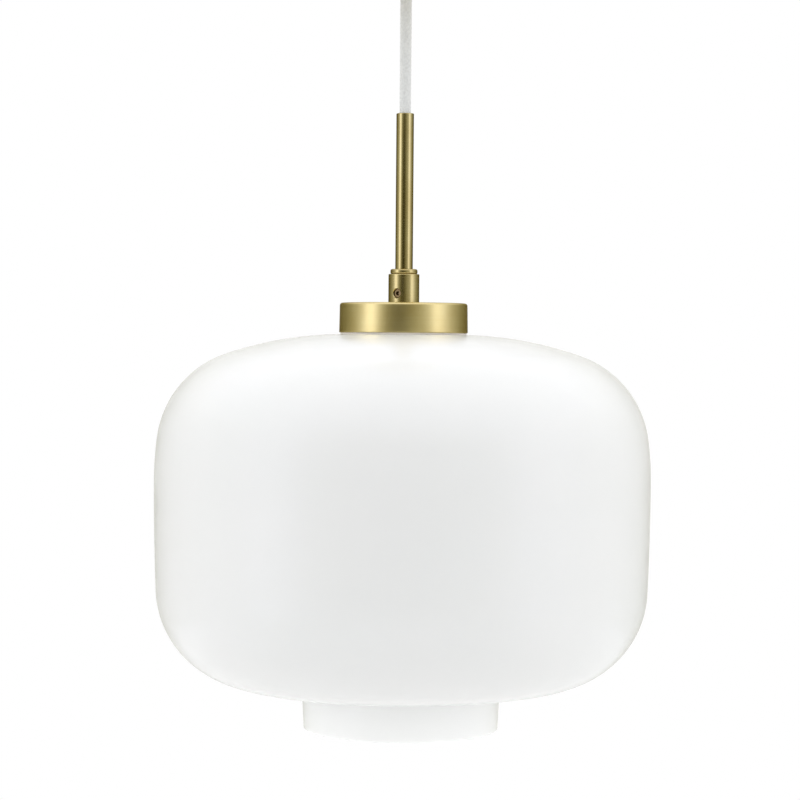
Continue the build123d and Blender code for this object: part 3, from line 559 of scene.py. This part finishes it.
# %% The blown shade
glass_wall = 3 * mm
hole = 21.5 * mm
neck_foot_radius = 58.9 * mm
hole_round, lip_round = 0.75 * mm, 1.35 * mm
neck_round_outside, neck_round_inside = 2.5 * mm, 2.4 * mm
crown_run = 10 * mm
glass_top, glass_foot = top("glass_shade"), foot("glass_shade")
outer_skin, inner_skin = skin(0.0), skin(glass_wall)
neck_radius, neck_top = outer_skin[-1]


def rounded_corner(back, corner, ahead, size):
    """The points that round off one corner between two others."""
    return rounded([(*back, 0), (*corner, size), (*ahead, 0)], 10)[1:-1]


neck_outside, neck_inside = (neck_radius, neck_top), (neck_radius - glass_wall, neck_top + glass_wall)
lip_outside, lip_inside = (neck_foot_radius, glass_foot), (neck_foot_radius - glass_wall, glass_foot)
hole_middle = (hole, glass_top - glass_wall / 2)
hole_foot = glass_top - glass_wall
shade_outline = (
    rounded_corner(hole_middle, (hole, glass_top), (hole + crown_run, glass_top), hole_round)
    + outer_skin[:-1]
    + rounded_corner(outer_skin[-2], neck_outside, lip_outside, neck_round_outside)
    + rounded_corner(neck_outside, lip_outside, lip_inside, lip_round)
    + rounded_corner(lip_outside, lip_inside, neck_inside, lip_round)
    + rounded_corner(lip_inside, neck_inside, inner_skin[-2], neck_round_inside)
    + inner_skin[-2::-1]
    + rounded_corner((hole + crown_run, hole_foot), (hole, hole_foot), hole_middle, hole_round)
)
shade = turn_section("opal_shade", lambda angle: shade_outline, 288, smooth_angle=60.0)
place(shade, "pendant", "opal_glass", opal, "glass_shade")


# %% [markdown]
# ## The brass on the shade
# The cap is spun from sheet over a form, so its top edge is a soft bend and its rim is a trimmed edge.
# The rod is drawn tube with a rounded mouth, where a pale bush keeps the flex off the metal. A ring with
# full round edges sits on the collar. Each is one turned outline with real roundings, because a bright
# thin line along every edge is what makes turned brass look solid.

# %% Cap, rod, bush and ring
cap_top, cap_rim, cap_radius = top("shade_cap"), foot("shade_cap"), radius("shade_cap")
cap_wall = 1.2 * mm
cap_hole = 5.1 * mm
cap_taper = 0.3 * mm
cap_bend = 1.6 * mm
trimmed_edge = 0.3 * mm
place(lathe("spun_cap", [
    (cap_hole, cap_top, 0), (cap_radius - cap_taper, cap_top, cap_bend),
    (cap_radius, cap_rim, trimmed_edge), (cap_radius - cap_wall, cap_rim, trimmed_edge),
    (cap_radius - cap_taper - cap_wall, cap_top - cap_wall, cap_bend - cap_wall),
    (cap_hole, cap_top - cap_wall, 0),
], 256, 12), "pendant", "brushed_brass", cap_brass, "shade_cap")

rod_radius, rod_foot = radius("down_rod"), foot("down_rod")
bush_radius = radius("rod_mouth_bush")
place(lathe("drawn_rod", [
    (bush_radius, rod_foot, 0), (rod_radius, rod_foot, 0), (rod_radius, rod_mouth, 0.45 * mm),
    (bush_radius, rod_mouth, 0.15 * mm),
], 128), "pendant", "brushed_brass", rod_brass, "down_rod")

bush_bore = 3.8 * mm
place(lathe("mouth_bush", [
    (bush_bore, foot("rod_mouth_bush"), 0), (bush_radius, foot("rod_mouth_bush"), 0),
    (bush_radius, rod_mouth, 0.2 * mm), (bush_bore, rod_mouth, 0.25 * mm),
], 96), "pendant", "white_plastic", finishes["white_plastic"], "rod_mouth_bush")

ring_top, ring_foot = top("rod_foot_ring"), foot("rod_foot_ring")
ring_radius = radius("rod_foot_ring")
place(lathe("foot_ring", [
    (rod_radius, ring_foot, 0), (ring_radius, ring_foot, 1.0 * mm), (ring_radius, ring_top, 1.1 * mm),
    (rod_radius, ring_top, 0.2 * mm),
], 128, 8), "pendant", "brushed_brass", collar_brass, "rod_foot_ring")


# %% [markdown]
# ## The canopy and the seals
# The canopy is a spun cup like the cap, only deeper, with a generous bend at its floor. Two silicone
# washers seat the glass: one under the cap and one on the shade ring. Silicone bulges where it is
# squeezed, so their free edges are rounded rather than cut.

# %% Canopy and seals
canopy_floor, canopy_radius = foot("canopy"), radius("canopy")
canopy_wall = 1.2 * mm
canopy_bend = 3.0 * mm
grip_hole = 5.1 * mm
place(lathe("spun_canopy", [
    (grip_hole, canopy_floor, 0), (canopy_radius, canopy_floor, canopy_bend),
    (canopy_radius, 0, trimmed_edge), (canopy_radius - canopy_wall, 0, trimmed_edge),
    (canopy_radius - canopy_wall, canopy_floor + canopy_wall, canopy_bend - canopy_wall),
    (grip_hole, canopy_floor + canopy_wall, 0),
], 256, 12), "ceiling", "brushed_brass", cap_brass, "canopy")


cap_seal_width = 5.4 * mm
ring_seal_bore = 21.3 * mm
seal_rounding = 0.45


def seal(name, cad_node, bore):
    """A flat silicone washer with soft edges."""
    low, high, outside = foot(cad_node), top(cad_node), radius(cad_node)
    soft = seal_rounding * (high - low)
    corners = [(bore, low, soft), (outside, low, soft), (outside, high, soft), (bore, high, soft)]
    place(lathe(name, corners, 144, 4), "pendant", "gasket_rubber", finishes["gasket_rubber"], cad_node)


seal("cap_seal", "cap_gasket", radius("cap_gasket") - cap_seal_width)
seal("ring_seal", "ring_gasket", ring_seal_bore)


# %% [markdown]
# ## Threads in the lampholder
# An E27 screw thread is rolled from thin sheet, so it is a soft wave, not a cut V. The wave climbs 3.63 mm
# a turn, and the bulb's joint moves the bulb by as much. The bulb's cap carries the wave on the outside,
# and the shell round it carries a shallower one in step, so that the crests of one lie in the furrows of
# the other. The plastic skirt has a finer thread for the shade ring. A displaced texture could show this,
# but only real relief gives the right outline.

# %% Threaded pieces
def threaded(name, low, high, side_at, wall, relief_end=1.5 * mm, rows_per_mm=3, steps=120):
    """A thin tube whose outside follows side_at(angle, height, share). share is 0 at both plain ends."""
    rows = int((high - low) / mm * rows_per_mm)
    heights = [low + (high - low) * row / rows for row in range(rows + 1)]

    def section(angle):
        outside = []
        for z in heights:
            share = min(1.0, (z - low) / relief_end, (high - z) / relief_end)
            outside.append((side_at(angle, z, share), z))
        return outside + [(r - wall, z) for r, z in reversed(outside)]

    return turn_section(name, section, steps, smooth_angle=60.0)


bulb_radians_per_metre = 1731.6
rolled_pitch = 2 * pi / bulb_radians_per_metre
bulb_cap_radius = radius("bulb_screw_cap")
shell_radius = radius("screw_shell")
bulb_cap_relief, shell_relief = 1.0 * mm, 0.35 * mm
bulb_cap_wall, shell_wall = 0.4 * mm, 0.2 * mm
bulb_cap_plain_end = 3 * mm


def rolled(outer, relief):
    """The outside of a rolled thread, as a function of the angle, the height and the share of relief."""
    return lambda angle, z, share: outer - (relief - thread(angle, z, rolled_pitch, relief)) * share


place(threaded("rolled_bulb_cap", foot("bulb_screw_cap"), top("bulb_screw_cap"),
               rolled(bulb_cap_radius, bulb_cap_relief), bulb_cap_wall, bulb_cap_plain_end),
      "bulb", "nickel", finishes["nickel"], "bulb_screw_cap")
place(threaded("rolled_shell", foot("screw_shell"), top("screw_shell"),
               rolled(shell_radius, shell_relief), shell_wall),
      "pendant", "terminal_brass", finishes["terminal_brass"], "screw_shell")

# %% [markdown]
# The skirt's outside is threaded from just above its foot to its top. Inside it is plain down to a lip
# that turns in under the porcelain.

# %% The threaded skirt
skirt_radius = radius("lampholder_skirt")
skirt_foot, skirt_top = foot("lampholder_skirt"), top("lampholder_skirt")
skirt_wall = 2.35 * mm
skirt_pitch = 2.5 * mm
skirt_relief = 0.45 * mm
skirt_rounding = 0.8 * mm
skirt_rows = 120
plain_foot = 2 * mm
thread_run_out = 1 * mm
lip_height, lip_gap = 3 * mm, 0.75 * mm


def skirt_section(angle):
    """The skirt: a threaded outside, a rounded foot and a lip that turns in under the porcelain."""
    outside = []
    side_foot = skirt_foot + skirt_rounding
    for row in range(skirt_rows + 1):
        z = side_foot + (skirt_top - side_foot) * row / skirt_rows
        share = min(1.0, (z - skirt_foot - plain_foot) / thread_run_out, (skirt_top - z) / thread_run_out)
        furrow = skirt_relief - thread(angle, z, skirt_pitch, skirt_relief)
        outside.append((skirt_radius - furrow * max(0.0, share), z))
    lip = shell_radius + lip_gap
    bore = skirt_radius - skirt_wall
    corner = [(skirt_radius - skirt_rounding * (1 - sin(a)), skirt_foot + skirt_rounding * (1 - cos(a)))
              for a in (0.0, pi / 8, pi / 4, 3 * pi / 8)]
    return corner + outside + [(bore, skirt_top), (bore, skirt_foot + lip_height),
                               (lip, skirt_foot + lip_height), (lip, skirt_foot)]


place(turn_section("threaded_skirt", skirt_section, 144), "pendant", "white_plastic",
      finishes["white_plastic"], "lampholder_skirt")


# %% [markdown]
# ## The shade ring
# The ring that holds the glass from inside is moulded plastic. Scallops round its flange give fingers a
# grip. Each scallop is part of a circle, so the outline's radius is worked out from that circle at every
# angle, and the edges of the flange are softened the way a mould leaves them.

# %% Scalloped ring
scallops = 16
scallop_radius = 2.4 * mm
scallop_offset = 1.0 * mm
flange = 2.2 * mm
sleeve_wall = 2.7 * mm
ring_clearance = 0.05 * mm
ring_out, ring_low, ring_high = radius("shade_ring"), foot("shade_ring"), top("shade_ring")


def ring_section(angle):
    """The ring's half section at that angle, with the flange drawn in where a scallop is."""
    span = 2 * pi / scallops
    along = ((angle + span / 2) % span - span / 2) * ring_out
    dip = max(0.0, sqrt(max(0.0, scallop_radius ** 2 - along ** 2)) - scallop_offset)
    bore = skirt_radius + ring_clearance
    edge = ring_out - dip
    flange_foot = ring_high - flange
    return rounded([(bore, ring_high, 0), (edge, ring_high, 0.5 * mm), (edge, flange_foot, 0.8 * mm),
                    (bore + sleeve_wall, flange_foot, 0.6 * mm),
                    (bore + sleeve_wall, ring_low, 0.8 * mm), (bore, ring_low, 0.2 * mm)], 4)


place(turn_section("scalloped_ring", ring_section, 384), "pendant", "white_plastic",
      finishes["white_plastic"], "shade_ring")


# %% [markdown]
# ## Light
# A lamp like this looks its best in a dark room between two tall softboxes, with a wide one overhead.
# Brass and glossy glass mirror that room, so most of their look is the room's look. The world is painted
# as the room: its brightness depends on the direction, which needs no lamps and adds little noise.
# Matt surfaces get a plainer, softer version of it, and the camera sees plain white behind the lamp.

# %% Helpers for the world
def maths(tree, operation, *values):
    """One Math node. Each value is a number or another node's output."""
    made = node(tree, "Math", operation=operation)
    for i, value in enumerate(values):
        if isinstance(value, (int, float)):
            made.inputs[i].default_value = value
        else:
            tree.links.new(value, made.inputs[i])
    return made.outputs["Value"]


def fade(tree, value, start, end, low, high):
    """A smooth step: low where the value is at start, high where it is at end."""
    return node(tree, "MapRange", [("Value", value)], interpolation_type="SMOOTHSTEP", From_Min=start,
                From_Max=end, To_Min=low, To_Max=high).outputs["Result"]


# Brightness round the room, as (degrees from the lamp's front towards +X, brightness).
room = ((-180, 0.72), (-170, 0.60), (-160, 0.30), (-128, 0.22), (-110, 0.34), (-92, 0.50),
        (-76, 0.85), (-67, 1.85), (-55, 1.75), (-46, 0.72), (-34, 0.28), (-20, 0.08), (-6, 0.04),
        (6, 0.12), (20, 0.32), (36, 0.50), (49, 0.65), (55, 1.50), (66, 1.60), (76, 1.10), (86, 0.75),
        (100, 0.45), (128, 0.24), (160, 0.30), (170, 0.60), (180, 0.72))

# What glossy surfaces mirror above and below the room's walls. A direction's rise runs from -1, straight
# down, to 1, straight up, and each span is where the walls give way.
overhead_span, overhead_brightness = (0.14, 0.80), 1.15
floor_span, floor_brightness = (-0.38, -0.08), 0.70

# The soft light on matt surfaces, as (start, end, low, high) of a smooth step. The first two run with the
# radians away from the lamp's front, and the last one runs with the rise.
soft_sides = (0.3, 1.5, 1.28, 1.88)
soft_behind = (2.2, 3.1, 0.0, -0.62)
soft_up_and_down = (-0.6, 0.8, -0.38, 0.20)


# %% [markdown]
# One world shader holds all three versions. The light path says what kind of ray is asking: a camera ray
# gets the white backdrop, a glossy ray the room with its softboxes, and any other ray the soft light.

# %% Studio world
def studio_world():
    """A white backdrop for the camera, and a painted studio for everything else."""
    world = bpy.data.worlds.new("studio")
    bpy.context.scene.world = world
    world.use_nodes = True
    tree = world.node_tree
    backdrop = tree.nodes["Background"]
    backdrop.inputs["Color"].default_value = (1, 1, 1, 1)
    split = node(tree, "SeparateXYZ", [("Vector", node(tree, "TexCoord").outputs["Generated"])])
    rise = split.outputs["Z"]
    turn = maths(tree, "ARCTAN2", split.outputs["X"], maths(tree, "MULTIPLY", split.outputs["Y"], -1.0))
    share = maths(tree, "MULTIPLY_ADD", turn, 1 / (2 * pi), 0.5)
    overhead = fade(tree, rise, *overhead_span, 0.0, 1.0)
    downward = fade(tree, rise, *floor_span, 1.0, 0.0)

    brightest = max(brightness for angle, brightness in room)
    walls = colours_by(tree, share, *[((angle + 180) / 360, (brightness / brightest,) * 3)
                                      for angle, brightness in room])
    level = maths(tree, "SUBTRACT", maths(tree, "SUBTRACT", 1.0, overhead), downward)
    mirrored = maths(tree, "MULTIPLY", maths(tree, "MULTIPLY", walls, brightest), level)
    mirrored = maths(tree, "MULTIPLY_ADD", overhead, overhead_brightness, mirrored)
    mirrored = maths(tree, "MULTIPLY_ADD", downward, floor_brightness, mirrored)
    tint = colours_by(tree, mirrored, (0.05, (1.0, 0.89, 0.28)), (0.35, (1.0, 0.975, 0.72)),
                      (1.0, (1.0, 1.0, 1.08)))
    mirror_light = node(tree, "Background", [("Color", tint), ("Strength", mirrored)])

    aside = maths(tree, "ABSOLUTE", turn)
    sides = fade(tree, aside, *soft_sides)
    behind = fade(tree, aside, *soft_behind)
    up_and_down = fade(tree, rise, *soft_up_and_down)
    soft = maths(tree, "ADD", maths(tree, "ADD", sides, behind), up_and_down)
    soft_light = node(tree, "Background", [("Strength", soft)])

    rays = node(tree, "LightPath")
    studio = node(tree, "MixShader", [("Fac", rays.outputs["Is Glossy Ray"]),
                                      (1, soft_light.outputs[0]), (2, mirror_light.outputs[0])])
    mix = node(tree, "MixShader", [("Fac", rays.outputs["Is Camera Ray"]),
                                   (1, studio.outputs[0]), (2, backdrop.outputs[0])])
    tree.links.new(mix.outputs[0], tree.nodes["World Output"].inputs["Surface"])


studio_world()
bpy.context.scene.view_settings.view_transform = "Standard"


# %% [markdown]
# ## The floor
# The lamp hangs from a ceiling 2.5 m above a plain pale floor. The floor is only a stage: it catches the
# soft light and sends some back up into the shade.

# %% Floor
floor_height = -2.5
floor_radius = 6.0
floor_corners = 96


def pale_floor():
    """A plain round floor with a faint, fine texture."""
    made, tree, shader = material("pale_floor", (0.86, 0.86, 0.85), 0.7)
    speckle = noise(tree, own_coordinates(tree), 40, 5.0)
    tree.links.new(colours_by(tree, speckle, (0.3, (0.76, 0.76, 0.75)), (0.7, (0.80, 0.80, 0.79))),
                   shader.inputs["Base Color"])
    return made


turns = [2 * pi * i / floor_corners for i in range(floor_corners)]
rim = [(floor_radius * cos(turn), floor_radius * sin(turn), floor_height) for turn in turns]
studio_floor = mesh_object("studio_floor", rim, [tuple(range(floor_corners))])
studio_floor.data.materials.append(pale_floor())
